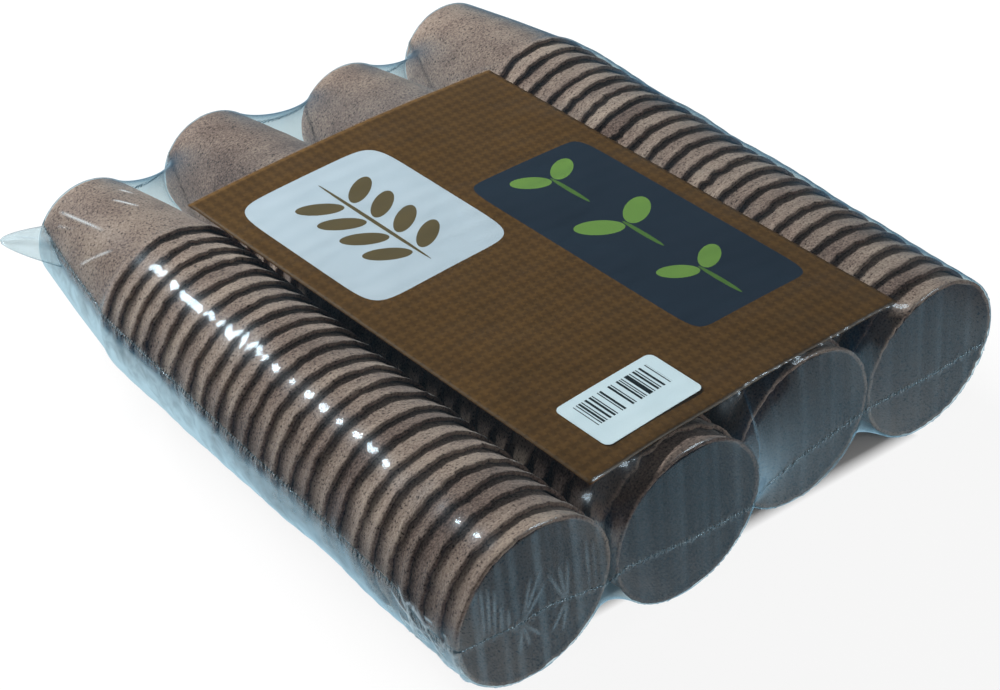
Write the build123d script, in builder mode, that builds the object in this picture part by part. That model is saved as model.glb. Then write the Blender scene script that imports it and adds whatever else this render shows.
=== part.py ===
from build123d import *
from math import atan2, cos, radians, sin
import os

# A shop pack of round fibre pots: four nests lie side by side with their mouths
# to the front, a printed card lies on top, and two webs of clear shrink film,
# welded together all the way round, hold everything.
# X runs across the nests, the mouths face -Y, Z is up from the surface it lies on.

os.makedirs("parts", exist_ok=True)

# Driving dimensions, in millimetres and degrees

# One pot
rim_diameter = 60.0
base_diameter = 41.0
pot_height = 60.0
pot_wall = 1.25
base_wall = 1.6
base_dish = 1.2
base_round = 3.0
inner_round = 2.0
rim_round = 0.5

# The four nests, from left to right
nest_names = ("left", "mid_left", "mid_right", "right")
pots_per_nest = 24
nest_gap = 0.4
mouth_setbacks = (1.4, 0.0, 10.8, 11.0)
wall_gaps = (0.07, 0.16, 0.07, 0.16)
pots_per_node = 2

# Printed card and the sticker on it
card_side_lap = 9.6
card_front_setback = 11.3
card_rear_setback = 67.07
card_thickness = 0.35
card_crown = 2.0
card_gap = 0.15
card_turn = 3.2
card_x = -1.0
sticker_width = 42.0
sticker_length = 24.0
sticker_thickness = 0.12
sticker_gap = 0.05
sticker_x = -34.0
sticker_setback = 8.0

# Shrink film
film_thickness = 0.2
film_gap = 0.3
film_press = 0.15
valley_sag = 6.0
rear_valley_sag = 9.0
valley_recess = 4.0
valley_grip = 1.5
valley_grip_angle = 62.0
lid_slope = 16.0
bulge_radius = 16.0
bulge_end_radius = 12.0
bulge_shift = 17.0
bulge_slope = 32.0
bulge_length = 34.0
bulge_peak = 7.0
bulge_setback = 1.0

# Weld between the two webs, with the spare corners that it leaves
weld_gap = 0.02
weld_width = 1.2
weld_rear_rise = 10.0
weld_corner_rise = 3.0
weld_front_drop = 5.0
weld_ramp_setback = 20.0
weld_ramp_length = 10.0
rear_ear_reach = 19.0
rear_ear_run = 24.0
front_ear_reach = 7.0
front_ear_run = 12.0

# Derived values
rim_radius = rim_diameter / 2
base_radius = base_diameter / 2
nest_spacing = rim_diameter + nest_gap
half_angle = atan2(rim_radius - base_radius, pot_height)
wall_across = pot_wall / cos(half_angle)
inner_floor = pot_height - base_wall
inner_base_radius = rim_radius - wall_across - inner_floor * (rim_radius - base_radius) / pot_height
film_outside = film_gap + film_thickness
weld_edge = film_outside + weld_width
axis_height = rim_radius + film_outside - film_press
pitches = [(pot_wall + gap) / sin(half_angle) for gap in wall_gaps]
nest_lengths = [pot_height + (pots_per_nest - 1) * pitch for pitch in pitches]
pack_length = max(setback + length for setback, length in zip(mouth_setbacks, nest_lengths))
front_y = -pack_length / 2
nest_axes = [(place - (len(nest_names) - 1) / 2) * nest_spacing for place in range(len(nest_names))]
mouths = [front_y + setback for setback in mouth_setbacks]
bases = [mouth + length for mouth, length in zip(mouths, nest_lengths)]
last_rims = [base - pot_height for base in bases]
card_width = 2 * (nest_spacing + card_side_lap)
card_length = pack_length - card_front_setback - card_rear_setback
pack_reach = pack_length + rim_diameter * len(nest_names)


def dished(radius, height):
    """Half of a shallow bowl from its middle to its edge: at half its width it has a quarter of its depth."""
    return ThreePointArc(
        (0, height - base_dish),
        (radius / 2, height - 0.75 * base_dish),
        (radius, height),
    )


# One pot, mouth at the origin, base towards +Y
with BuildPart() as pot:
    with BuildSketch() as pot_section:
        with BuildLine():
            dished(base_radius, pot_height)
            Polyline(
                (base_radius, pot_height),
                (rim_radius, 0),
                (rim_radius - wall_across, 0),
                (inner_base_radius, inner_floor),
            )
            dished(inner_base_radius, inner_floor)
            Line((0, inner_floor - base_dish), (0, pot_height - base_dish))
        make_face()
        fillet(pot_section.vertices().sort_by_distance((base_radius, pot_height))[0], base_round)
        fillet(pot_section.vertices().sort_by_distance((inner_base_radius, inner_floor))[0], inner_round)
        fillet(pot_section.vertices().sort_by_distance((rim_radius, 0))[0], rim_round)
        fillet(pot_section.vertices().sort_by_distance((rim_radius - wall_across, 0))[0], rim_round)
    revolve(axis=Axis.Y)


def export_pots(node, axis, mouth_places):
    """One node of loose pots that lie on one axis."""
    with BuildPart() as pots:
        with Locations(*[(axis, place, axis_height) for place in mouth_places]):
            add(pot.part)
    pots.part.label = node
    export_step(pots.part, f"parts/{node}.step")


# The front pot and the rear pot of each nest are nodes of their own, the pots between go in pairs
for nest, axis, mouth, pitch in zip(nest_names, nest_axes, mouths, pitches):
    places = [mouth + step * pitch for step in range(pots_per_nest)]
    export_pots(f"pot_{nest}_front", axis, places[:1])
    export_pots(f"pot_{nest}_rear", axis, places[-1:])
    for first in range(1, pots_per_nest - 1, pots_per_node):
        last = min(first + pots_per_node, pots_per_nest - 1)
        export_pots(f"pots_{nest}_{first + 1:02d}_{last:02d}", axis, places[first:last])


# Printed card, bowed over the two middle nests
turn = radians(card_turn)
card_y = front_y + card_front_setback + card_length / 2
card_plane = Plane(
    origin=(card_x, card_y, axis_height),
    x_dir=(cos(turn), sin(turn), 0),
    z_dir=(sin(turn), -cos(turn), 0),
)
card_bow = ((card_width / 2) ** 2 + card_crown**2) / (2 * card_crown)
card_seat = nest_spacing / 2 + abs(card_x) + card_length / 2 * sin(turn)
card_bottom = rim_radius + card_gap + card_seat**2 / (2 * card_bow)
card_top = card_bottom + card_thickness
sticker_bottom = card_top + sticker_gap
lid_height = sticker_bottom + sticker_thickness


def bowed_strip(start, end, bottom, top):
    """Section of a strip that lies on the card's bow between two places across it."""
    centre = bottom - card_bow

    def on_bow(place, height):
        reach = height - centre
        return (place, centre + (reach**2 - place**2) ** 0.5)

    middle = (start + end) / 2
    with BuildSketch(Plane.XY) as strip:
        with BuildLine():
            ThreePointArc(on_bow(start, bottom), on_bow(middle, bottom), on_bow(end, bottom))
            Line(on_bow(end, bottom), on_bow(end, top))
            ThreePointArc(on_bow(end, top), on_bow(middle, top), on_bow(start, top))
            Line(on_bow(start, top), on_bow(start, bottom))
        make_face()
    return strip.sketch


card_section = bowed_strip(-card_width / 2, card_width / 2, card_bottom, card_top)
with BuildPart() as card:
    with BuildSketch(card_plane):
        add(card_section)
    extrude(amount=card_length / 2, both=True)
card.part.label = "label_card"
export_step(card.part, "parts/label_card.step")

# Sticker on the card's front left
sticker_plane = card_plane.offset(card_length / 2 - sticker_setback - sticker_length / 2)
sticker_section = bowed_strip(
    sticker_x - sticker_width / 2,
    sticker_x + sticker_width / 2,
    sticker_bottom,
    sticker_bottom + sticker_thickness,
)
with BuildPart() as sticker:
    with BuildSketch(sticker_plane):
        add(sticker_section)
    extrude(amount=sticker_length / 2, both=True)
sticker.part.label = "card_sticker"
export_step(sticker.part, "parts/card_sticker.step")


def round_nest(axis, mouth, last_rim, base, offset):
    """The space that the film keeps round one nest: straight over the rims, then down the last pot."""
    with BuildPart() as space:
        with BuildSketch(Plane((axis, 0, axis_height))) as section:
            with BuildLine():
                Polyline(
                    (0, mouth - offset),
                    (rim_radius + offset, mouth - offset),
                    (rim_radius + offset, last_rim),
                    (base_radius + offset, base + offset),
                    (0, base + offset),
                    close=True,
                )
            make_face()
            rim_corner = (rim_radius + offset, mouth - offset)
            base_corner = (base_radius + offset, base + offset)
            fillet(section.vertices().sort_by_distance(rim_corner)[0], rim_round + offset)
            fillet(section.vertices().sort_by_distance(base_corner)[0], base_round + offset)
        revolve(axis=Axis((axis, 0, axis_height), (0, 1, 0)))
    return space.part


def valley_section(radius, sag, offset):
    """The film between two neighbours: a dip above, with its ends just inside both rounds, and flat below."""
    grip = radius + offset - valley_grip
    grip_x = nest_spacing / 2 - grip * cos(radians(valley_grip_angle))
    grip_z = grip * sin(radians(valley_grip_angle))
    dip = radius - sag + offset
    flat_x = nest_spacing / 2 + valley_grip + offset
    flat_z = radius + offset + film_press
    with BuildSketch(Plane.XY) as section:
        with BuildLine():
            ThreePointArc((-grip_x, grip_z), (0, dip), (grip_x, grip_z))
            Polyline(
                (grip_x, grip_z),
                (flat_x, 0),
                (flat_x, -flat_z),
                (-flat_x, -flat_z),
                (-flat_x, 0),
                (-grip_x, grip_z),
            )
        make_face()
    return section.sketch


def valley_web(left, right, offset):
    """The film's space between two neighbours, from mouth to mouth and from base to base."""
    middle = (nest_axes[left] + nest_axes[right]) / 2
    start = nest_axes[left] - 2 * valley_grip
    end = nest_axes[right] + 2 * valley_grip
    first = min(mouths[left], mouths[right])
    rim = (last_rims[left] + last_rims[right]) / 2
    last = max(bases[left], bases[right])
    full = valley_section(rim_radius, valley_sag, offset)
    small = valley_section(base_radius, rear_valley_sag, offset)
    with BuildPart() as web:
        for place, section in ((first, full), (rim, full), (last, small)):
            with BuildSketch(Plane((middle, place, axis_height), x_dir=(1, 0, 0), z_dir=(0, -1, 0))):
                add(section)
        loft(ruled=True)
        with BuildSketch():
            with BuildLine():
                Polyline(
                    (start, mouths[left] + valley_recess - offset),
                    (end, mouths[right] + valley_recess - offset),
                    (end, bases[right] - valley_recess + offset),
                    (start, bases[left] - valley_recess + offset),
                    close=True,
                )
            make_face()
        extrude(amount=2 * axis_height, mode=Mode.INTERSECT)
    return web.part


def card_lid(offset):
    """The film's space over the card, which it spans from the left nest to the right one."""
    side = nest_axes[-1] - abs(card_x) + offset
    shoulder = card_width / 2 + film_outside
    edge = card_length / 2 + offset
    with BuildPart() as lid:
        with BuildSketch(card_plane):
            with BuildLine():
                Polyline(
                    (-side, 0),
                    (-side, rim_radius - valley_grip + offset),
                    (-shoulder, lid_height + offset),
                    (shoulder, lid_height + offset),
                    (side, rim_radius - valley_grip + offset),
                    (side, 0),
                    close=True,
                )
            make_face()
        extrude(amount=edge + lid_slope, both=True)
        with BuildSketch(Plane(card_plane.origin, x_dir=-card_plane.z_dir, z_dir=card_plane.x_dir)):
            with BuildLine():
                Polyline(
                    (-edge, 0),
                    (-edge, lid_height + offset),
                    (edge, lid_height + offset),
                    (edge + lid_slope, rim_radius - valley_sag - valley_grip + offset),
                    (edge + lid_slope, 0),
                    close=True,
                )
            make_face()
        extrude(amount=side, both=True, mode=Mode.INTERSECT)
    return lid.part


def loose_bulge(offset):
    """Slack film at the front left corner."""
    bulge_x = nest_axes[0] - bulge_shift * cos(radians(bulge_slope))
    bulge_z = axis_height - bulge_shift * sin(radians(bulge_slope))
    start = mouths[0] + bulge_setback
    with BuildPart() as bulge:
        with BuildSketch(Plane((bulge_x, start, bulge_z))):
            with BuildLine():
                Polyline(
                    (0, 0),
                    (bulge_end_radius + offset, 0),
                    (bulge_radius + offset, bulge_peak),
                    (bulge_end_radius + offset, bulge_length),
                    (0, bulge_length),
                    close=True,
                )
            make_face()
        revolve(axis=Axis((bulge_x, start, bulge_z), (0, 1, 0)))
    return bulge.part


def wrapped_space(offset):
    """All that lies inside a face this far from the pots, flat where the pack lies on the ground."""
    pieces = [
        round_nest(axis, mouth, rim, base, offset)
        for axis, mouth, rim, base in zip(nest_axes, mouths, last_rims, bases)
    ]
    pieces += [valley_web(left, left + 1, offset) for left in range(len(nest_names) - 1)]
    pieces += [card_lid(offset), loose_bulge(offset)]
    ground = max(film_outside - offset, 0)
    with BuildPart() as space:
        for piece in pieces:
            add(piece)
        split(bisect_by=Plane.XY.offset(ground), keep=Keep.TOP)
    return space.part


def weld_band(low, high):
    """A slab that follows the weld: it falls along the sides and drops lower across the mouths."""
    rear = axis_height + weld_rear_rise
    corner = axis_height + weld_corner_rise
    front = axis_height - weld_front_drop
    ramp = front_y + weld_ramp_setback
    line = [
        (-pack_reach, front),
        (ramp, front),
        (ramp + weld_ramp_length, corner),
        (bases[0], rear),
        (pack_reach, rear),
    ]
    upper = [(place, height + high) for place, height in reversed(line)]
    with BuildPart() as band:
        with BuildSketch(Plane.YZ):
            with BuildLine():
                Polyline(*[(place, height + low) for place, height in line], *upper, close=True)
            make_face()
        extrude(amount=pack_reach, both=True)
    return band.part


# The spare film at two corners of the weld
ear_root = film_gap + base_round
with BuildPart() as ears:
    with BuildSketch():
        with BuildLine():
            rear_left = nest_axes[0] - base_radius
            Polyline(
                (rear_left + base_radius / 2, bases[0] - ear_root),
                (rear_left + base_radius / 2, bases[0] + film_outside),
                (rear_left - rear_ear_reach + base_round, bases[0] + film_outside),
                (rear_left, bases[0] - rear_ear_run),
                close=True,
            )
        make_face()
        with BuildLine():
            front_right = nest_axes[-1] + rim_radius
            Polyline(
                (front_right - base_round, mouths[-1] + rim_round),
                (front_right + front_ear_reach, mouths[-1] + front_ear_run / 3),
                (front_right - base_round, mouths[-1] + front_ear_run),
                close=True,
            )
        make_face()
    extrude(amount=2 * axis_height)

inner_space = wrapped_space(film_gap)
outer_space = wrapped_space(film_outside)
weld_space = wrapped_space(weld_edge)
half_gap = weld_gap / 2


def film_web(name, far_side, weld_side):
    """One web of film with its half of the welded edge."""
    with BuildPart() as welded_edge:
        add(weld_space)
        add(ears.part)
        add(weld_side, mode=Mode.INTERSECT)
    with BuildPart() as web:
        add(outer_space)
        add(far_side, mode=Mode.INTERSECT)
        add(welded_edge.part)
        add(inner_space, mode=Mode.SUBTRACT)
    web.part.label = name
    export_step(web.part, f"parts/{name}.step")


film_web(
    "film_upper",
    weld_band(half_gap, pack_reach),
    weld_band(half_gap, half_gap + film_thickness),
)
film_web(
    "film_lower",
    weld_band(-pack_reach, -half_gap),
    weld_band(-half_gap - film_thickness, -half_gap),
)
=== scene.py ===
import math
from collections import namedtuple

import bmesh
import bpy
import numpy as np
from mathutils import Matrix, Vector
from mathutils.bvhtree import BVHTree


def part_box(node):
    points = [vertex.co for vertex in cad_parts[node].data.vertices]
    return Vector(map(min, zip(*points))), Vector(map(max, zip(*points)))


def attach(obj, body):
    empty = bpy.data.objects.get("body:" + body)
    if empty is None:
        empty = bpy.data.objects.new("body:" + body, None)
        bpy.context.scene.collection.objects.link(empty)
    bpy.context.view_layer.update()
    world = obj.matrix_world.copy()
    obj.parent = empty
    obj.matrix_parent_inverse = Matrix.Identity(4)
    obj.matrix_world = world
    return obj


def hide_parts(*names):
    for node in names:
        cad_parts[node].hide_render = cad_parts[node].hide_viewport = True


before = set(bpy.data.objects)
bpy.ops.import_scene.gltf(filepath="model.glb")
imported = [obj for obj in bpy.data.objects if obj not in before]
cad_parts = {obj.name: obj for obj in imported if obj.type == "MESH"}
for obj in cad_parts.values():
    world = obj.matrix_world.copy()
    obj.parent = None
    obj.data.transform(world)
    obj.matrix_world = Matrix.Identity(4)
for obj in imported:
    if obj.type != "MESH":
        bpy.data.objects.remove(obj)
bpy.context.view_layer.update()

# A shop pack of round fibre pots: four nests lie side by side with their mouths
# to the front, a printed card lies on top, and clear shrink film holds everything.
# All lengths are in metres, in the CAD model's frame.

MM = 0.001
rng = np.random.default_rng(24)

# One pot
RIM_RADIUS = 30.0 * MM
BASE_RADIUS = 20.5 * MM
POT_HEIGHT = 60.0 * MM
WALL = 1.27 * MM
LIP_WALL = 1.6 * MM
FLOOR_WALL = 1.6 * MM
BASE_DISH = 1.2 * MM
BASE_ROUND = 2.6 * MM
NECK_DIP = 0.45 * MM
TONE_SPREAD = 0.07
RIM_STEPS = 128
POTS_PER_NEST = 24

# Printed card and sticker
CARD_WIDTH = 140.0 * MM
CARD_LENGTH = 200.0 * MM
CARD_THICKNESS = 0.35 * MM
CARD_BOW = 1226.0 * MM
CARD_TURN = math.radians(3.2)
STICKER_WIDTH = 42.0 * MM
STICKER_LENGTH = 24.0 * MM
STICKER_X = -34.0 * MM
STICKER_SETBACK = 8.0 * MM
STICKER_CORNER = 2.5 * MM
STICKER_THICKNESS = 0.12 * MM

# Shrink film
FILM_GAP = 0.25 * MM
FILM_CELLS = (47, 54, 12)
COARSE_ROUNDS = 650
MIDDLE_ROUNDS = 260
FINE_ROUNDS = 60
FILM_PULL = 0.9
GROUND_GAP = 0.08 * MM
SLACK_WAVES = ((30 * MM, 0.40 * MM), (11 * MM, 0.17 * MM))
SCALLOP = 0.08 * MM
STREAK_WAVES = (4.7 * MM, 7.9 * MM, 13.0 * MM)
CORNER_CRINKLES = 70

# Weld between the two webs of film; bare places along it are in millimetres
WELD_REAR_HEIGHT = 40.0 * MM
WELD_CORNER_HEIGHT = 33.0 * MM
WELD_FRONT_X = (-121.5, -96.0, -85.7, -63.4, -56.7, -29.5, -1.5, 11.5, 38.5, 64.0, 96.0, 120.9)
WELD_FRONT_Z = (27.7, 25.6, 26.9, 23.1, 26.4, 23.0, 22.4, 19.0, 22.1, 24.3, 23.7, 25.9)
WELD_WIDTH = 0.6 * MM
WELD_THICKNESS = 0.12 * MM
# Step of the weld's dark and light dashes: painted shade and painted highlight
PUCKER_SHADE_AND_GLINT_STEP = 1.25 * MM
WELD_STEP = 1.0 * MM
EAR_ROOT = ((-108.6, 113.0, 40.5), (-115.0, 91.0, 37.0))
EAR_TIP = (-125.0, 116.5, 38.5)

# Creases in the film, as lines from one place to another in millimetres
MOUTH_CREASES = (
    ((-112.3, -138.1, 48.0), (-110.5, -138.1, 27.5)),
    ((-109.7, -138.1, 47.0), (-108.6, -138.1, 27.3)),
    ((-107.1, -138.1, 45.0), (-106.6, -138.1, 26.8)),
    ((-104.7, -138.1, 38.0), (-104.0, -138.1, 26.2)),
    ((-101.6, -138.1, 34.0), (-101.4, -138.1, 26.0)),
    ((-96.2, -138.1, 25.6), (-93.4, -138.1, 42.5)),
    ((-96.0, -138.1, 25.6), (-89.3, -138.1, 45.0)),
    ((-95.8, -138.1, 25.7), (-87.6, -138.1, 37.5)),
    ((-79.5, -138.1, 25.2), (-86.6, -138.1, 39.5)),
    ((-79.3, -138.1, 25.2), (-82.8, -138.1, 41.0)),
    ((-79.0, -138.1, 25.2), (-79.4, -138.1, 41.5)),
    ((-70.0, -138.1, 24.0), (-72.5, -138.1, 46.0)),
    ((-67.5, -138.1, 24.0), (-69.5, -138.1, 43.0)),
    ((-96.2, -138.1, 25.2), (-97.0, -138.1, 14.0)),
    ((-96.0, -138.1, 25.2), (-93.0, -138.1, 15.0)),
    ((-95.8, -138.1, 25.2), (-89.0, -138.1, 17.0)),
    ((-79.6, -138.1, 24.8), (-84.5, -138.1, 15.0)),
    ((-79.2, -138.1, 24.8), (-80.0, -138.1, 13.0)),
)
REAR_CREASES = (
    ((-113.7, 80.7, 43.2), (-107.3, 68.7, 53.2)),
    ((-104.8, 108.1, 47.3), (-103.5, 81.2, 53.3)),
    ((-108.0, 104.0, 44.5), (-106.0, 92.0, 48.5)),
    ((-91.7, 92.9, 54.8), (-88.1, 82.1, 56.4)),
    ((-85.2, 99.0, 53.3), (-83.6, 92.3, 53.9)),
)

# Width, height, haze and whiteness of each kind of crease; the whiteness is painted highlight
MOUTH_FOLD = (0.6 * MM, 0.30 * MM, 0.22, 0.05)
REAR_FOLD = (0.45 * MM, 0.25 * MM, 0.0, 0.4)

# Floor: half sizes of the part that stays in the pack's shade, and of the light glow that the film mirrors
# near the pack, a painted reflection
SHADE_REACH = (0.082, 0.124)
MIRROR_GLOW_REACH = (0.150, 0.210)
FLOOR_GLOW = 0.9

Nest = namedtuple("Nest", "name x z mouth pitch last_rim base")


def read_nest(name):
    """Where the CAD model has one nest."""
    front_low, front_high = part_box(f"pot_{name}_front")
    rear_low, rear_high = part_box(f"pot_{name}_rear")
    pitch = (rear_low[1] - front_low[1]) / (POTS_PER_NEST - 1)
    return Nest(
        name,
        (front_low[0] + front_high[0]) / 2,
        (front_low[2] + front_high[2]) / 2,
        front_low[1],
        pitch,
        rear_low[1],
        rear_low[1] + POT_HEIGHT,
    )


nests = [read_nest(name) for name in ("left", "mid_left", "mid_right", "right")]
card_low, card_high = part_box("label_card")
card_centre = Vector(((card_low[0] + card_high[0]) / 2, (card_low[1] + card_high[1]) / 2))
card_top = card_high[2]


# Materials

def linear(colour):
    """A hex colour as the linear values that shaders take."""
    parts = [int(colour[place:place + 2], 16) / 255 for place in (1, 3, 5)]
    return [part / 12.92 if part <= 0.04045 else ((part + 0.055) / 1.055) ** 2.4 for part in parts] + [1.0]


def new_material(name):
    """An empty node material and its node tree."""
    material = bpy.data.materials.new(name)
    material.use_nodes = True
    material.node_tree.nodes.clear()
    return material, material.node_tree


def add_node(tree, kind, inputs=None, **settings):
    """One node with its settings, its fixed values and its links."""
    node = tree.nodes.new(kind)
    for name, value in settings.items():
        setattr(node, name, value)
    for socket, value in (inputs or {}).items():
        if isinstance(value, bpy.types.NodeSocket):
            tree.links.new(value, node.inputs[socket])
        else:
            node.inputs[socket].default_value = value
    return node


def colour_ramp(tree, factor, stops):
    """A blend through hex colours at these places."""
    ramp = add_node(tree, "ShaderNodeValToRGB", {"Fac": factor})
    elements = ramp.color_ramp.elements
    while len(elements) < len(stops):
        elements.new(0.5)
    for element, (place, colour) in zip(elements, stops):
        element.position = place
        element.color = linear(colour)
    return ramp.outputs["Color"]


def moulded_fibre():
    """Wood fibre and peat, felted on a mould: matt, mottled grey-brown with dark specks and a fuzzy face."""
    material, tree = new_material("moulded_fibre")
    place = add_node(tree, "ShaderNodeTexCoord").outputs["Object"]
    tone = add_node(tree, "ShaderNodeAttribute", attribute_name="pot_tone").outputs["Fac"]
    patches = add_node(
        tree, "ShaderNodeTexNoise", {"Vector": place, "Scale": 1 / (14 * MM), "Detail": 1.0}
    ).outputs["Fac"]
    tufts = add_node(
        tree,
        "ShaderNodeTexNoise",
        {"Vector": place, "Scale": 1 / (0.8 * MM), "Detail": 2.0, "Roughness": 0.7},
    ).outputs["Fac"]
    specks = add_node(
        tree, "ShaderNodeTexNoise", {"Vector": place, "Scale": 1 / (0.8 * MM), "Detail": 1.0}
    ).outputs["Fac"]
    mixed = add_node(tree, "ShaderNodeMath", {0: patches, 1: 0.4, 2: tufts}, operation="MULTIPLY_ADD")
    toned = add_node(tree, "ShaderNodeMath", {0: mixed.outputs[0], 1: tone}, operation="ADD")
    share = add_node(
        tree, "ShaderNodeMapRange", {"Value": toned.outputs[0], "From Min": 0.42, "From Max": 1.0}
    )
    felt = colour_ramp(
        tree,
        share.outputs["Result"],
        [(0.0, "#503a32"), (0.4, "#7d6358"), (0.65, "#957a6c"), (1.0, "#ad9281")],
    )
    dark = add_node(tree, "ShaderNodeMapRange", {"Value": specks, "From Min": 0.27, "From Max": 0.38})
    speckled = add_node(
        tree,
        "ShaderNodeMix",
        {"Factor": dark.outputs["Result"], 6: linear("#35261f"), 7: felt},
        data_type="RGBA",
    )
    bump = add_node(
        tree, "ShaderNodeBump", {"Height": tufts, "Strength": 0.7, "Distance": 0.25 * MM}
    )
    shader = add_node(
        tree,
        "ShaderNodeBsdfPrincipled",
        {
            "Base Color": speckled.outputs[2],
            "Roughness": 0.95,
            "Specular IOR Level": 0.15,
            "Sheen Weight": 0.15,
            "Normal": bump.outputs["Normal"],
        },
    )
    add_node(tree, "ShaderNodeOutputMaterial", {"Surface": shader.outputs[0]})
    return material


def shrink_film(name, head_on, roughness):
    """Clear shrink film, drawn tight: glossy, faintly blue, hazy where slack; along the weld, dark dashes of
    painted shade and light dashes of painted highlight, and a diffuse white for painted highlights on creases
    and for the milky weld.
    """
    material, tree = new_material(name)
    facing = add_node(tree, "ShaderNodeLayerWeight", {"Blend": 0.5}).outputs["Facing"]
    steep = add_node(tree, "ShaderNodeMath", {0: facing, 1: 4.0}, operation="POWER")
    mirrored = add_node(
        tree, "ShaderNodeMapRange", {"Value": steep.outputs[0], "To Min": head_on, "To Max": 1.0}
    )
    place = add_node(tree, "ShaderNodeTexCoord").outputs["Object"]
    slack = add_node(tree, "ShaderNodeAttribute", attribute_name="slack").outputs["Fac"]
    streaks = add_node(
        tree, "ShaderNodeTexNoise", {"Vector": place, "Scale": 1 / (7 * MM), "Detail": 3.0, "Distortion": 0.8}
    ).outputs["Fac"]
    patchy = add_node(
        tree, "ShaderNodeMapRange", {"Value": streaks, "From Min": 0.3, "From Max": 0.7, "To Min": 0.45}
    )
    hazy = add_node(tree, "ShaderNodeMath", {0: slack, 1: patchy.outputs["Result"]}, operation="MULTIPLY")
    gloss = add_node(
        tree,
        "ShaderNodeMath",
        {0: hazy.outputs[0], 1: 0.8, 2: mirrored.outputs["Result"]},
        operation="MULTIPLY_ADD",
        use_clamp=True,
    )
    sheen = add_node(
        tree, "ShaderNodeMix", {"Factor": slack, 6: linear("#d4e8f5"), 7: linear("#f2fafd")}, data_type="RGBA"
    )
    tint = add_node(
        tree,
        "ShaderNodeMix",
        {"Factor": steep.outputs[0], 6: linear("#e8f1f3"), 7: linear("#b9d6df")},
        data_type="RGBA",
    )
    through = add_node(tree, "ShaderNodeBsdfTransparent", {"Color": tint.outputs[2]})
    crisp = add_node(tree, "ShaderNodeBsdfGlossy", {"Color": sheen.outputs[2], "Roughness": roughness})
    blurred = add_node(
        tree, "ShaderNodeBsdfGlossy", {"Color": sheen.outputs[2], "Roughness": 3.5 * roughness}
    )
    mirror = add_node(tree, "ShaderNodeMixShader", {0: 0.5, 1: crisp.outputs[0], 2: blurred.outputs[0]})
    clear = add_node(
        tree, "ShaderNodeMixShader", {0: gloss.outputs[0], 1: through.outputs[0], 2: mirror.outputs[0]}
    )
    rise = add_node(tree, "ShaderNodeAttribute", attribute_name="weld_rise").outputs["Fac"]
    away = add_node(tree, "ShaderNodeMath", {0: rise}, operation="ABSOLUTE")
    near = add_node(
        tree,
        "ShaderNodeMapRange",
        {"Value": away.outputs[0], "From Min": 0.8 * MM, "From Max": 1.3 * MM, "To Min": 1.0, "To Max": 0.0},
    )
    waver = add_node(tree, "ShaderNodeTexNoise", {"Vector": place, "Scale": 1 / (5 * MM)}).outputs["Fac"]
    sides = add_node(tree, "ShaderNodeSeparateXYZ", {"Vector": place})
    run = add_node(tree, "ShaderNodeMath", {0: sides.outputs["X"], 1: sides.outputs["Y"]}, operation="ADD")
    turns = add_node(
        tree, "ShaderNodeMath", {0: run.outputs[0], 1: 2 * math.pi / PUCKER_SHADE_AND_GLINT_STEP}, operation="MULTIPLY"
    )
    shifted = add_node(
        tree, "ShaderNodeMath", {0: waver, 1: 14.0, 2: turns.outputs[0]}, operation="MULTIPLY_ADD"
    )
    wave = add_node(tree, "ShaderNodeMath", {0: shifted.outputs[0]}, operation="SINE")
    dash = add_node(tree, "ShaderNodeMapRange", {"Value": wave.outputs[0], "From Min": 0.1, "From Max": 0.6})
    pucker_shade = add_node(
        tree, "ShaderNodeMath", {0: near.outputs["Result"], 1: dash.outputs["Result"]}, operation="MULTIPLY"
    )
    share = add_node(tree, "ShaderNodeMath", {0: pucker_shade.outputs[0], 1: 0.85}, operation="MULTIPLY")
    # fold: a dark gloss mixed in along the weld, painted shade in its puckers
    fold = add_node(tree, "ShaderNodeBsdfGlossy", {"Color": linear("#3c484e"), "Roughness": 0.3})
    with_pucker_shade = add_node(
        tree, "ShaderNodeMixShader", {0: share.outputs[0], 1: clear.outputs[0], 2: fold.outputs[0]}
    )
    # The light dashes between the dark ones are painted highlight
    highlight_phase = add_node(
        tree, "ShaderNodeMapRange", {"Value": wave.outputs[0], "From Min": -0.2, "From Max": -0.8}
    )
    between = add_node(
        tree, "ShaderNodeMath", {0: near.outputs["Result"], 1: highlight_phase.outputs["Result"]}, operation="MULTIPLY"
    )
    # A diffuse white by this attribute paints highlights on creases and between the weld's dashes, and makes
    # the weld and the spare corner milky
    whitening = add_node(tree, "ShaderNodeAttribute", attribute_name="whitening").outputs["Fac"]
    pale = add_node(
        tree,
        "ShaderNodeMath",
        {0: between.outputs[0], 1: 0.10, 2: whitening},
        operation="MULTIPLY_ADD",
        use_clamp=True,
    )
    white = add_node(tree, "ShaderNodeBsdfDiffuse", {"Color": linear("#dfeaee")})
    shader = add_node(
        tree, "ShaderNodeMixShader", {0: pale.outputs[0], 1: with_pucker_shade.outputs[0], 2: white.outputs[0]}
    )
    add_node(tree, "ShaderNodeOutputMaterial", {"Surface": shader.outputs[0]})
    return material


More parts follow.
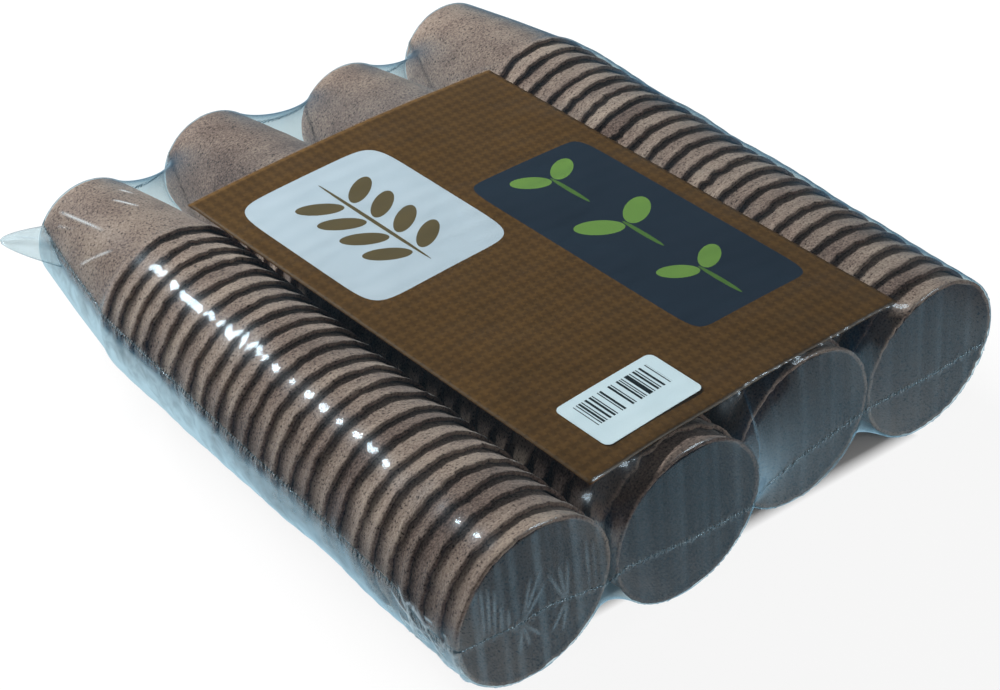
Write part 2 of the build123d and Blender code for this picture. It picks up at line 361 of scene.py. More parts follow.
def printed_card():
    """Coated card with a printed brown basket weave, and a plain green and slate design over it."""
    material, tree = new_material("printed_card")
    uv = add_node(tree, "ShaderNodeUVMap", uv_map="UVMap").outputs["UV"]
    flat = add_node(
        tree,
        "ShaderNodeMapping",
        {"Vector": uv, "Location": (-CARD_WIDTH / 2 / MM, -CARD_LENGTH / 2 / MM, 0),
         "Scale": (CARD_WIDTH / MM, CARD_LENGTH / MM, 1)},
    ).outputs["Vector"]
    cells = add_node(
        tree,
        "ShaderNodeTexChecker",
        {"Vector": flat, "Scale": 1 / 2.2, "Color1": (0, 0, 0, 1), "Color2": (1, 1, 1, 1)},
    ).outputs["Fac"]
    across = add_node(
        tree, "ShaderNodeTexWave", {"Vector": flat, "Scale": 0.071, "Distortion": 0.4}, bands_direction="X"
    ).outputs["Fac"]
    along = add_node(
        tree, "ShaderNodeTexWave", {"Vector": flat, "Scale": 0.071, "Distortion": 0.4}, bands_direction="Y"
    ).outputs["Fac"]
    strands = add_node(tree, "ShaderNodeMix", {"Factor": cells, 2: across, 3: along}, data_type="FLOAT")
    wear = add_node(tree, "ShaderNodeTexNoise", {"Vector": flat, "Scale": 0.08, "Detail": 3.0}).outputs["Fac"]
    mixed = add_node(tree, "ShaderNodeMath", {0: strands.outputs[0], 1: wear}, operation="ADD")
    shade = add_node(
        tree, "ShaderNodeMapRange", {"Value": mixed.outputs[0], "From Min": 0.3, "From Max": 1.6}
    )
    colour = colour_ramp(
        tree, shade.outputs["Result"], [(0.0, "#57391a"), (0.5, "#634220"), (1.0, "#704c26")]
    )

    def print_patch(under, ink, x, y, width, length, turn, power):
        """One flat patch of ink: power 2 makes an oval and a high power a rounded rectangle."""
        moved = add_node(
            tree,
            "ShaderNodeMapping",
            {"Vector": flat, "Location": (x, y, 0), "Rotation": (0, 0, turn),
             "Scale": (width / 2, length / 2, 1)},
            vector_type="TEXTURE",
        ).outputs["Vector"]
        sides = add_node(tree, "ShaderNodeSeparateXYZ", {"Vector": moved})
        terms = []
        for axis in ("X", "Y"):
            size = add_node(tree, "ShaderNodeMath", {0: sides.outputs[axis]}, operation="ABSOLUTE")
            terms.append(add_node(tree, "ShaderNodeMath", {0: size.outputs[0], 1: power}, operation="POWER"))
        reach = add_node(
            tree, "ShaderNodeMath", {0: terms[0].outputs[0], 1: terms[1].outputs[0]}, operation="ADD"
        )
        inside = add_node(tree, "ShaderNodeMath", {0: reach.outputs[0], 1: 1.0}, operation="LESS_THAN")
        mix = add_node(
            tree,
            "ShaderNodeMix",
            {"Factor": inside.outputs[0], 6: under, 7: linear(ink)},
            data_type="RGBA",
        )
        return mix.outputs[2]

    colour = print_patch(colour, "#2e343f", 34.0, -14.0, 54.0, 112.0, 0.0, 14.0)
    colour = print_patch(colour, "#d2d4da", -30.0, 48.0, 62.0, 76.0, 0.0, 8.0)
    for stem_y, reach in ((-50.0, 15.0), (-14.0, 18.0), (22.0, 15.0)):
        colour = print_patch(colour, "#5d7a3a", 34.0, stem_y - 4.0, 2.0, 20.0, 0.0, 2.0)
        for side in (-1, 1):
            colour = print_patch(
                colour, "#7d9b4a", 34.0 + side * reach / 2, stem_y + 8.0, reach, reach / 2, side * 0.55, 2.0
            )
    for leaf in range(4):
        for side in (-1, 1):
            colour = print_patch(
                colour, "#6e5a3c", -30.0 + side * 9.0, 30.0 + leaf * 12.0, 17.0, 7.0, side * 0.6, 2.0
            )
    colour = print_patch(colour, "#6e5a3c", -30.0, 48.0, 1.6, 60.0, 0.0, 2.0)
    shader = add_node(
        tree, "ShaderNodeBsdfPrincipled", {"Base Color": colour, "Roughness": 0.45, "IOR": 1.45}
    )
    add_node(tree, "ShaderNodeOutputMaterial", {"Surface": shader.outputs[0]})
    return material


def white_sticker():
    """White coated paper with a plain block of printed bars."""
    material, tree = new_material("white_sticker_paper")
    uv = add_node(tree, "ShaderNodeUVMap", uv_map="UVMap").outputs["UV"]
    sides = add_node(tree, "ShaderNodeSeparateXYZ", {"Vector": uv})
    stretched = add_node(
        tree, "ShaderNodeMapping", {"Vector": uv, "Scale": (STICKER_WIDTH / (0.9 * MM), 0, 0)}
    ).outputs["Vector"]
    bars = add_node(
        tree, "ShaderNodeTexNoise", {"Vector": stretched, "Scale": 1.0, "Detail": 0.0}
    ).outputs["Fac"]
    ink = add_node(tree, "ShaderNodeMath", {0: bars, 1: 0.5}, operation="GREATER_THAN")
    inside = ink.outputs[0]
    for axis, low, high in (("X", 0.12, 0.88), ("Y", 0.38, 0.86)):
        above = add_node(tree, "ShaderNodeMath", {0: sides.outputs[axis], 1: low}, operation="GREATER_THAN")
        below = add_node(tree, "ShaderNodeMath", {0: sides.outputs[axis], 1: high}, operation="LESS_THAN")
        both = add_node(
            tree, "ShaderNodeMath", {0: above.outputs[0], 1: below.outputs[0]}, operation="MULTIPLY"
        )
        kept = add_node(tree, "ShaderNodeMath", {0: inside, 1: both.outputs[0]}, operation="MULTIPLY")
        inside = kept.outputs[0]
    colour = add_node(
        tree,
        "ShaderNodeMix",
        {"Factor": inside, 6: linear("#f2f6f8"), 7: linear("#232629")},
        data_type="RGBA",
    )
    shader = add_node(
        tree, "ShaderNodeBsdfPrincipled", {"Base Color": colour.outputs[2], "Roughness": 0.4, "IOR": 1.45}
    )
    add_node(tree, "ShaderNodeOutputMaterial", {"Surface": shader.outputs[0]})
    return material


fibre = moulded_fibre()
film = shrink_film("shrink_film", 0.05, 0.10)
weld = shrink_film("welded_film", 0.06, 0.12)
card_print = printed_card()
sticker_paper = white_sticker()


# Pieces

def new_piece(name, mesh, material, replaced=()):
    """Puts a finished mesh in the scene as a piece of the pack."""
    piece = bpy.data.objects.new(name, mesh)
    bpy.context.collection.objects.link(piece)
    mesh.materials.append(material)
    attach(piece, "root")
    if replaced:
        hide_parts(*replaced)
    return piece


def outside_radius(depth):
    """A pot's outer radius this far behind its mouth: a cone with a slight neck behind the lip."""
    cone = RIM_RADIUS + (BASE_RADIUS - RIM_RADIUS) * depth / POT_HEIGHT
    into = np.clip((depth - 1.4 * MM) / (2.6 * MM), 0, 1)
    out = np.clip((depth - 9 * MM) / (22 * MM), 0, 1)
    return cone - NECK_DIP * into * into * (3 - 2 * into) * (1 - out)


def pot_template(outer_depths, inner_depths):
    """One pot with its mouth at the origin, spun from its section."""
    inner_floor = POT_HEIGHT - FLOOR_WALL
    inner_base = outside_radius(inner_floor) - WALL
    section = [(0.0, POT_HEIGHT - BASE_DISH), (BASE_RADIUS * 0.5, POT_HEIGHT - 0.75 * BASE_DISH)]
    section += [(BASE_RADIUS - BASE_ROUND, POT_HEIGHT - 0.18 * BASE_DISH)]
    section += [(BASE_RADIUS - 1.0 * MM, POT_HEIGHT - 0.5 * MM)]
    section += [(BASE_RADIUS + 0.15 * MM, POT_HEIGHT - 2.2 * MM)]
    section += [(outside_radius(depth), depth) for depth in outer_depths]
    section += [
        (RIM_RADIUS - 0.12 * MM, 0.42 * MM),
        (RIM_RADIUS - 0.38 * MM, 0.1 * MM),
        (RIM_RADIUS - 0.8 * MM, 0.0),
        (RIM_RADIUS - 1.25 * MM, 0.1 * MM),
        (RIM_RADIUS - LIP_WALL, 0.5 * MM),
    ]
    section += [(outside_radius(depth) - WALL, depth) for depth in inner_depths]
    section += [(inner_base - 0.4 * MM, inner_floor - 0.9 * MM)]
    section += [(inner_base - 2.0 * MM, inner_floor - 0.2 * MM)]
    section += [(inner_base * 0.5, inner_floor - 0.75 * BASE_DISH), (0.0, inner_floor - BASE_DISH)]
    bm = bmesh.new()
    verts = [bm.verts.new((radius, depth, 0)) for radius, depth in section]
    edges = [bm.edges.new(pair) for pair in zip(verts, verts[1:])]
    bmesh.ops.spin(
        bm,
        geom=verts + edges,
        cent=(0, 0, 0),
        axis=(0, 1, 0),
        angle=2 * math.pi,
        steps=RIM_STEPS,
        use_merge=True,
    )
    bmesh.ops.remove_doubles(bm, verts=bm.verts, dist=0.001 * MM)
    bmesh.ops.recalc_face_normals(bm, faces=bm.faces)
    mesh = bpy.data.meshes.new("pot_template")
    bm.to_mesh(mesh)
    bm.free()
    return mesh


LIP_DEPTHS = [depth * MM for depth in (11.5, 9.8, 8.4, 7.2, 6.2, 5.3, 4.5, 3.8, 3.1, 2.5, 1.9, 1.4, 0.9)]
WALL_DEPTHS = [depth * MM for depth in np.linspace(54, 13, 22)]
nested_pot = pot_template([depth * MM for depth in (50, 20, 14)] + LIP_DEPTHS, [1.2 * MM, 4 * MM, 20 * MM])
open_pot = pot_template(WALL_DEPTHS + LIP_DEPTHS, [1.2 * MM, 3 * MM] + WALL_DEPTHS[::-1])


def points_of(mesh):
    """A mesh's points as rows of x, y, z."""
    points = np.empty(len(mesh.vertices) * 3)
    mesh.vertices.foreach_get("co", points)
    return points.reshape(-1, 3)


def uneven(angle, waves):
    """A random outline round a pot, of about unit size: sine waves with these counts to a turn."""
    sizes = rng.normal(size=len(waves))
    turns = rng.uniform(0, 2 * math.pi, len(waves))
    total = sum(size * np.sin(count * angle + turn) for size, count, turn in zip(sizes, waves, turns))
    return total / math.sqrt(len(waves) / 2)


def ragged_pot(template, nest, place):
    """One pot's points in the nest, with its torn rim, its dents and its slight tilt."""
    points = points_of(template)
    angle = np.arctan2(points[:, 2], points[:, 0])
    radius = np.hypot(points[:, 0], points[:, 2])
    depth = points[:, 1]
    near_rim = np.exp(-np.maximum(depth, 0) / (2.5 * MM))
    torn = 0.38 * MM * uneven(angle, (2, 3, 5, 7)) + 0.24 * MM * uneven(angle, (11, 17, 23, 31, 43))
    steps = np.round(angle / (2 * math.pi) * RIM_STEPS).astype(int) % RIM_STEPS
    torn = torn + rng.normal(0, 0.16 * MM, RIM_STEPS)[steps]
    if place == 0:
        torn = np.abs(torn) * 0.6
    depth = depth + torn * near_rim
    dents = 0.14 * MM * uneven(angle, (2, 4, 6, 9))
    dents = dents + 0.08 * MM * uneven(angle + depth / (7 * MM), (15, 19, 27))
    radius = radius + np.minimum(dents, 0.05 * MM) * np.clip(radius / RIM_RADIUS, 0, 1) - 0.12 * MM * near_rim
    tilt = 0.0 if place == 0 else rng.normal(0, 0.006)
    lean = rng.uniform(0, 2 * math.pi)
    shift = 0.0 if place in (0, POTS_PER_NEST - 1) else rng.normal(0, 0.35 * MM)
    moved = np.empty_like(points)
    moved[:, 0] = nest.x + radius * np.cos(angle)
    moved[:, 2] = nest.z + radius * np.sin(angle)
    moved[:, 1] = nest.mouth + place * nest.pitch + shift + depth + tilt * radius * np.cos(angle - lean)
    return moved


def pots_piece(node, nest, places, template):
    """The piece for one CAD node of one or two pots."""
    bm = bmesh.new()
    for _ in places:
        bm.from_mesh(template)
    mesh = bpy.data.meshes.new(node)
    bm.to_mesh(mesh)
    bm.free()
    points = np.concatenate([ragged_pot(template, nest, place) for place in places])
    mesh.vertices.foreach_set("co", points.ravel())
    tone = mesh.attributes.new("pot_tone", "FLOAT", "POINT")
    tones = np.concatenate([np.full(len(template.vertices), rng.normal(0, TONE_SPREAD)) for _ in places])
    tone.data.foreach_set("value", tones)
    mesh.shade_smooth()
    mesh.update()
    return new_piece(f"fibre_{node}", mesh, fibre, [node])


for nest in nests:
    pots_piece(f"pot_{nest.name}_front", nest, [0], open_pot)
    pots_piece(f"pot_{nest.name}_rear", nest, [POTS_PER_NEST - 1], open_pot)
    for first in range(1, POTS_PER_NEST - 1, 2):
        pots_piece(f"pots_{nest.name}_{first + 1:02d}_{first + 2:02d}", nest, [first, first + 1], nested_pot)


# Card and sticker

def card_height(across):
    """The card's upper face this far from its middle line."""
    return card_top - across**2 / (2 * CARD_BOW)


def on_card(across, along, lift):
    """A place on the card, in the pack's frame."""
    x = card_centre.x + across * math.cos(CARD_TURN) - along * math.sin(CARD_TURN)
    y = card_centre.y + across * math.sin(CARD_TURN) + along * math.cos(CARD_TURN)
    return Vector((x, y, card_height(across) + lift))


bm = bmesh.new()
bm.loops.layers.uv.new("UVMap")
bmesh.ops.create_grid(bm, x_segments=70, y_segments=100, size=0.5, calc_uvs=True)
for vert in bm.verts:
    across, along = vert.co.x * CARD_WIDTH, vert.co.y * CARD_LENGTH
    front_edge = max(0.0, -along - 80 * MM) / (20 * MM)
    wave = 0.25 * MM * front_edge * math.sin(across / (9 * MM))
    vert.co = on_card(across, along, wave - 0.25 * MM * front_edge)
mesh = bpy.data.meshes.new("printed_label")
bm.to_mesh(mesh)
bm.free()
mesh.shade_smooth()
label = new_piece("printed_label", mesh, card_print, ["label_card"])
board = label.modifiers.new("board", "SOLIDIFY")
board.thickness = CARD_THICKNESS
board.offset = -1

bm = bmesh.new()
bmesh.ops.create_grid(bm, x_segments=1, y_segments=1, size=0.5)
bmesh.ops.scale(bm, verts=bm.verts, vec=(STICKER_WIDTH, STICKER_LENGTH, 1))
bmesh.ops.bevel(
    bm, geom=bm.verts[:], offset=STICKER_CORNER, affect="VERTICES", segments=6, profile=0.5, material=-1
)
for cut in np.linspace(-0.45, 0.45, 13) * STICKER_WIDTH:
    bmesh.ops.bisect_plane(
        bm, geom=bm.verts[:] + bm.edges[:] + bm.faces[:], plane_co=(cut, 0, 0), plane_no=(1, 0, 0)
    )
layer = bm.loops.layers.uv.new("UVMap")
for face in bm.faces:
    for loop in face.loops:
        loop[layer].uv = (loop.vert.co.x / STICKER_WIDTH + 0.5, loop.vert.co.y / STICKER_LENGTH + 0.5)
sticker_along = -CARD_LENGTH / 2 + STICKER_SETBACK + STICKER_LENGTH / 2
for vert in bm.verts:
    vert.co = on_card(STICKER_X + vert.co.x, sticker_along + vert.co.y, STICKER_THICKNESS + 0.05 * MM)
mesh = bpy.data.meshes.new("paper_sticker")
bm.to_mesh(mesh)
bm.free()
sticker = new_piece("paper_sticker", mesh, sticker_paper, ["card_sticker"])
paper = sticker.modifiers.new("paper", "SOLIDIFY")
paper.thickness = STICKER_THICKNESS
paper.offset = -1


# Shrink film: a box of film round the pack, drawn tight until it rests on what it holds

def push_out(points):
    """Moves points of the film out of the pots, the card and the ground, the shortest way."""
    rounds = []
    for nest in nests:
        depth = points[:, 1] - nest.mouth
        behind = np.maximum(depth - (nest.last_rim - nest.mouth), 0)
        into = np.clip(behind - POT_HEIGHT + BASE_ROUND, 0, BASE_ROUND)
        radius = outside_radius(behind) - BASE_ROUND + np.sqrt(BASE_ROUND**2 - into**2)
        rounds.append((nest.x, nest.z, depth, radius, nest.base - nest.mouth))
    for x, z, depth, radius, length in rounds:
        dx, dz = points[:, 0] - x, points[:, 2] - z
        reach = np.maximum(np.hypot(dx, dz), 1e-9)
        radius = radius + FILM_GAP
        to_side = radius - reach
        to_front = depth + FILM_GAP
        to_back = length + FILM_GAP - depth
        inside = (to_side > 0) & (to_front > 0) & (to_back > 0)
        ends = np.minimum(to_front, to_back)
        side = inside & (to_side <= ends)
        points[side, 0] = x + (dx * radius / reach)[side]
        points[side, 2] = z + (dz * radius / reach)[side]
        front = inside & ~side & (to_front <= to_back)
        points[front, 1] -= to_front[front]
        back = inside & ~side & (to_front > to_back)
        points[back, 1] += to_back[back]
    x, y = points[:, 0] - card_centre.x, points[:, 1] - card_centre.y
    across = x * math.cos(CARD_TURN) + y * math.sin(CARD_TURN)
    along = y * math.cos(CARD_TURN) - x * math.sin(CARD_TURN)
    over = card_height(across) + 2 * FILM_GAP
    under = (abs(across) < CARD_WIDTH / 2) & (abs(along) < CARD_LENGTH / 2)
    under &= (points[:, 2] < over) & (points[:, 2] > over - 12 * MM)
    points[under, 2] = over[under]
    points[:, 2] = np.maximum(points[:, 2], GROUND_GAP)


def draw_tight(bm, rounds):
    """Lets the film pull itself tight over what it holds."""
    bm.verts.index_update()
    edges = np.array([[vert.index for vert in edge.verts] for edge in bm.edges])
    points = np.array([vert.co for vert in bm.verts])
    count = np.bincount(edges.ravel(), minlength=len(points))
    for _ in range(rounds):
        pulled = np.empty_like(points)
        for axis in range(3):
            values = points[:, axis]
            pulled[:, axis] = np.bincount(edges[:, 0], values[edges[:, 1]], len(points))
            pulled[:, axis] += np.bincount(edges[:, 1], values[edges[:, 0]], len(points))
        points += FILM_PULL * (pulled / count[:, None] - points)
        push_out(points)
    for vert, place in zip(bm.verts, points):
        vert.co = place


bm = bmesh.new()
bmesh.ops.create_cube(bm, size=1.0)
film_low = Vector((nests[0].x - RIM_RADIUS, nests[1].mouth, 0.0)) - Vector((1, 1, 0)) * MM
film_high = Vector((nests[3].x + RIM_RADIUS, nests[3].base, nests[0].z + RIM_RADIUS)) + Vector((1, 1, 1)) * MM
bmesh.ops.scale(bm, verts=bm.verts, vec=film_high - film_low)
bmesh.ops.translate(bm, verts=bm.verts, vec=(film_high + film_low) / 2)
for axis, cells in enumerate(FILM_CELLS):
    runs = [edge for edge in bm.edges if abs(edge.verts[0].co[axis] - edge.verts[1].co[axis]) > MM]
    bmesh.ops.subdivide_edges(bm, edges=runs, cuts=cells - 1, use_grid_fill=True)
draw_tight(bm, COARSE_ROUNDS)
bmesh.ops.subdivide_edges(bm, edges=bm.edges[:], cuts=1, use_grid_fill=True)
draw_tight(bm, MIDDLE_ROUNDS)
bmesh.ops.subdivide_edges(bm, edges=bm.edges[:], cuts=1, use_grid_fill=True)
draw_tight(bm, FINE_ROUNDS)
bmesh.ops.recalc_face_normals(bm, faces=bm.faces)


def weld_height(x, y):
    """The weld's height: it falls along the sides towards the front and drops across the mouths."""
    rear, front = nests[0].base, nests[0].mouth
    across = np.interp(x / MM, WELD_FRONT_X, WELD_FRONT_Z) * MM
    along = np.interp(y, (front + 30 * MM, rear), (WELD_CORNER_HEIGHT, WELD_REAR_HEIGHT))
    share = np.clip((y - front - 18 * MM) / (12 * MM), 0, 1)
    return across + (along - across) * share


def weld_line(tree):
    """Places along the weld, all the way round, with the way that it stands out from the film."""
    left, right = nests[0], nests[3]
    sides = []
    for run in np.arange(left.base - 4 * MM, left.mouth + 1 * MM, -WELD_STEP):
        sides.append(((-0.3, run, weld_height(left.x - RIM_RADIUS, run)), (1, 0, 0)))
    for run in np.arange(left.x - RIM_RADIUS + 1 * MM, right.x + RIM_RADIUS - 1 * MM, WELD_STEP):
        sides.append(((run, -0.4, weld_height(run, left.mouth)), (0, 1, 0)))
    for run in np.arange(right.mouth + 1 * MM, right.base - 4 * MM, WELD_STEP):
        sides.append(((0.3, run, weld_height(right.x + RIM_RADIUS, run)), (-1, 0, 0)))
    for run in np.arange(right.x + BASE_RADIUS - 3 * MM, left.x - BASE_RADIUS + 3 * MM, -WELD_STEP):
        sides.append(((run, 0.4, WELD_REAR_HEIGHT), (0, -1, 0)))
    line = []
    for start, way in sides:
        place = tree.ray_cast(Vector(start), Vector(way))[0]
        if place is not None:
            line.append((np.array(place), -np.array(way, float)))
    return line


weld_places = weld_line(BVHTree.FromBMesh(bm))


def film_creases():
    """All creases as rows of start, end, width, height, haze and whiteness, a painted highlight."""
    creases = [(*np.array(ends) * MM, *MOUTH_FOLD) for ends in MOUTH_CREASES]
    creases += [(*np.array(ends) * MM, *REAR_FOLD) for ends in REAR_CREASES]
    for place, way in weld_places[::2]:
        across = np.cross(way, (0, 0, 1))
        lean = rng.normal(0, 0.35)
        reach = rng.uniform(0.8, 2.2) * MM
        if abs(way[0]) > 0.5:
            reach *= rng.uniform(0.8, 2.5)
        offset = rng.normal(0, 0.4) * MM * across
        tip = (np.array((0, 0, 1.0)) + lean * across) * reach
        height = rng.uniform(0.15, 0.35) * MM
        creases.append((place + offset - tip, place + offset + tip, 0.45 * MM, height, 0.1, 0.1))
    corner = [
        vert for vert in bm.verts
        if vert.normal.x < -0.6 and vert.co.y < nests[0].mouth + 26 * MM and 6 * MM < vert.co.z < 34 * MM
    ]
    for pick in rng.choice(len(corner), CORNER_CRINKLES):
        middle, normal = np.array(corner[pick].co), np.array(corner[pick].normal)
        reach = np.cross(normal, rng.normal(0, 1, 3)) * rng.uniform(1.5, 5.0) * MM
        creases.append((middle - reach, middle + reach, 0.5 * MM, rng.uniform(0.25, 0.6) * MM, 0.6, 0.35))
    return creases


def near_line(points, start, end):
    """How far points are from a line, and how far along it, from 0 at its start to 1 at its end."""
    run = end - start
    along = np.clip((points - start) @ run / max(run @ run, 1e-12), 0, 1)
    return np.linalg.norm(points - start - along[:, None] * run, axis=1), along


bm.normal_update()
creases = film_creases()
middles = np.array([face.calc_center_median() for face in bm.faces])
fine = np.zeros(len(middles), bool)
for start, end, *_ in creases:
    low, high = np.minimum(start, end) - 2.5 * MM, np.maximum(start, end) + 2.5 * MM
    fine |= ((middles > low) & (middles < high)).all(axis=1)
for nest in nests:
    reach = np.hypot(middles[:, 0] - nest.x, middles[:, 2] - nest.z)
    fine |= (abs(reach - RIM_RADIUS) < 3 * MM) & (abs(middles[:, 1] - nest.mouth) < 3 * MM)
fine_edges = {edge for face, chosen in zip(bm.faces, fine) if chosen for edge in face.edges}
bmesh.ops.subdivide_edges(bm, edges=list(fine_edges), cuts=1, use_grid_fill=True)
bm.normal_update()
places = np.array([vert.co for vert in bm.verts])
outward = np.array([vert.normal for vert in bm.verts])
push_out(places)
lift = np.zeros(len(places))
hazy = np.zeros(len(places))
crease_highlight = np.zeros(len(places))
# Whiteness along a crease is painted highlight
for start, end, width, height, haze, white in creases:
    low, high = np.minimum(start, end) - 3 * width, np.maximum(start, end) + 3 * width
    chosen = ((places > low) & (places < high)).all(axis=1)
    away, along = near_line(places[chosen], start, end)
    ridge = height * np.exp(-((away / width) ** 2)) * np.sqrt(np.clip(4 * along * (1 - along), 0.05, 1))
    lift[chosen] = np.maximum(lift[chosen], ridge)
    hazy[chosen] = np.maximum(hazy[chosen], haze * ridge / height)
    crease_highlight[chosen] = np.maximum(crease_highlight[chosen], white * ridge / height)
waver = np.full(len(places), 0.2 * MM)
for wave, size in SLACK_WAVES:
    ways = rng.normal(0, 2, (6, 3)) / wave
    turns = rng.uniform(0, 2 * math.pi, 6)
    waver += size * sum(np.sin(places @ way + turn) for way, turn in zip(ways, turns)) / 2
nearest = np.clip(np.round((places[:, 0] - nests[0].x) / (nests[1].x - nests[0].x)), 0, 3).astype(int)
mouth_y = np.array([nest.mouth for nest in nests])[nearest]
pitch = np.array([nest.pitch for nest in nests])[nearest]
last_rim = np.array([nest.last_rim for nest in nests])[nearest]
waver += SCALLOP * np.cos(2 * math.pi * (places[:, 1] - mouth_y) / pitch)
over_rims = np.clip((last_rim - places[:, 1]) / (12 * MM), 0, 1)
over_rims *= np.clip((places[:, 1] - mouth_y) / (3 * MM), 0, 1)
lift += np.maximum(waver, -0.1 * MM) * over_rims
places += outward * lift[:, None]
places[:, 2] = np.maximum(places[:, 2], GROUND_GAP)
rise = places[:, 2] - weld_height(places[:, 0], places[:, 1])
below = np.clip(-rise / (5 * MM), 0, 1)
left = np.clip(-1.5 * outward[:, 0] - 0.2, 0, 1) * (places[:, 0] < nests[0].x)
rearward = np.interp(places[:, 1], (-0.12, -0.06, 0.02, 0.1), (0.3, 0.5, 0.9, 1.0))
corner = np.clip(1.6 - np.hypot(places[:, 1] - nests[0].mouth, places[:, 2] - 18 * MM) / (14 * MM), 0, 1)
slack = np.maximum(np.maximum(below * rearward, 0.35 * corner) * left, hazy)
drawn = np.zeros(len(places))
for wave in STREAK_WAVES:
    lean = places[:, 0] + 0.12 * places[:, 2]
    drawn += np.sin(2 * math.pi * lean / wave + rng.uniform(0, 2 * math.pi)) / len(STREAK_WAVES)
over_mouth = np.clip(-3 * outward[:, 1] - 2, 0, 1)
slack = np.maximum(slack, np.where(nearest == 0, 0.12, 0.06) * np.clip(drawn + 0.2, 0, 1) * over_mouth)
# The weld's painted dashes of shade and highlight are narrower across the left mouth
rise[(places[:, 0] < nests[0].x + RIM_RADIUS) & (outward[:, 1] < -0.7)] *= 2.5
for name, values in (("slack", slack), ("weld_rise", rise), ("whitening", crease_highlight)):
    layer = bm.verts.layers.float.new(name)
    for vert, value in zip(bm.verts, values):
        vert[layer] = value
for vert, place in zip(bm.verts, places):
    vert.co = place


def film_web(name, upper, node):
    """One of the two webs of film, as far as the weld."""
    half = bm.copy()
    layer = half.verts.layers.float["weld_rise"]
    rises = [sum(vert[layer] for vert in face.verts) for face in half.faces]
    other = [face for face, rise in zip(half.faces, rises) if (rise > 0) != upper]
    bmesh.ops.delete(half, geom=other, context="FACES")
    area = sum(face.calc_area() for face in half.faces)
    mesh = bpy.data.meshes.new(name)
    half.to_mesh(mesh)
    half.free()
    mesh.shade_smooth()
    web = new_piece(name, mesh, film, [node])
    return web, area


upper_web, upper_area = film_web("shrink_film_upper", True, "film_upper")
lower_web, lower_area = film_web("shrink_film_lower", False, "film_lower")
bm.free()

# The welded edge stands out from the film as a narrow uneven fin
bm = bmesh.new()
inner = [bm.verts.new(place - way * 0.2 * MM) for place, way in weld_places]
fin = [bm.edges.new(pair) for pair in zip(inner, inner[1:] + inner[:1])]
grown = bmesh.ops.extrude_edge_only(bm, edges=fin)["geom"]
outer = [vert for vert in grown if isinstance(vert, bmesh.types.BMVert)]
for vert in outer:
    place, way = min(weld_places, key=lambda pair: np.abs(pair[0] - np.array(vert.co)).sum())
    reach = WELD_WIDTH * rng.uniform(0.5, 1.2)
    vert.co += Vector(way) * reach + Vector((0, 0, rng.normal(0, 0.35) * MM))
mesh = bpy.data.meshes.new("weld_seam")
bm.to_mesh(mesh)
bm.free()
for name, value in (("weld_rise", 1.0), ("whitening", 0.05)):
    mesh.attributes.new(name, "FLOAT", "POINT").data.foreach_set("value", np.full(len(mesh.vertices), value))
mesh.shade_smooth()
seam = new_piece("weld_seam", mesh, weld)
fin_wall = seam.modifiers.new("two_layers", "SOLIDIFY")
fin_wall.thickness = WELD_THICKNESS
fin_wall.offset = 0

# The spare corner of film at the back left
bm = bmesh.new()
bmesh.ops.create_grid(bm, x_segments=14, y_segments=14, size=0.5)
root_rear, root_front, tip = (Vector(place) * MM for place in (*EAR_ROOT, EAR_TIP))
for vert in bm.verts:
    across, out = vert.co.x + 0.5, vert.co.y + 0.5
    middle = root_rear.lerp(root_front, 0.5)
    half = (root_front - root_rear) * (across - 0.5) * (1 - 0.98 * out) ** 0.6
    place = middle.lerp(tip, out) + half
    fold = math.exp(-(((across - 0.4) / 0.10) ** 2)) * 1.1 * MM
    ripple = 0.35 * MM * math.sin(9 * out + 7 * across) * math.sin(math.pi * across)
    vert.co = place + Vector((0, 0, fold * (1 - 0.5 * out) + ripple))
mesh = bpy.data.meshes.new("weld_ear")
bm.to_mesh(mesh)
bm.free()
for name, value in (("slack", 0.1), ("weld_rise", 1.0), ("whitening", 0.15)):
    mesh.attributes.new(name, "FLOAT", "POINT").data.foreach_set("value", np.full(len(mesh.vertices), value))
mesh.shade_smooth()
ear = new_piece("weld_ear", mesh, weld)
ear_wall = ear.modifiers.new("two_layers", "SOLIDIFY")
ear_wall.thickness = WELD_THICKNESS
ear_wall.offset = 0


# Floor, light and camera

bm = bmesh.new()
bmesh.ops.create_grid(bm, x_segments=1, y_segments=1, size=3.0)
mesh = bpy.data.meshes.new("floor")
bm.to_mesh(mesh)
bm.free()
floor = bpy.data.objects.new("floor", mesh)
bpy.context.collection.objects.link(floor)
floor_material, tree = new_material("white_floor")
ray = add_node(tree, "ShaderNodeLightPath")
spot = add_node(tree, "ShaderNodeTexCoord").outputs["Object"]
place = add_node(tree, "ShaderNodeSeparateXYZ", {"Vector": spot})
spans = [
    add_node(tree, "ShaderNodeMath", {0: place.outputs[axis]}, operation="ABSOLUTE").outputs[0]
    for axis in ("X", "Y")
]


def beyond(reaches, falloff):
    """How far a place on the floor is outside a rectangle of these half sizes, from 0 to 1."""
    past = [
        add_node(
            tree, "ShaderNodeMapRange", {"Value": span, "From Min": reach, "From Max": reach + falloff}
        ).outputs["Result"]
        for span, reach in zip(spans, reaches)
    ]
    return add_node(tree, "ShaderNodeMath", {0: past[0], 1: past[1]}, operation="MAXIMUM").outputs[0]


seen = add_node(
    tree,
    "ShaderNodeMath",
    {0: ray.outputs["Is Camera Ray"], 1: beyond(SHADE_REACH, 6 * MM)},
    operation="MULTIPLY",
)
straight = add_node(tree, "ShaderNodeMath", {0: seen.outputs[0], 1: FLOOR_GLOW}, operation="MULTIPLY")
mirrored = add_node(
    tree,
    "ShaderNodeMath",
    {0: ray.outputs["Is Glossy Ray"], 1: ray.outputs["Is Transmission Ray"]},
    operation="MAXIMUM",
)
share = add_node(
    tree, "ShaderNodeMath", {0: mirrored.outputs[0], 1: straight.outputs[0]}, operation="MAXIMUM"
)
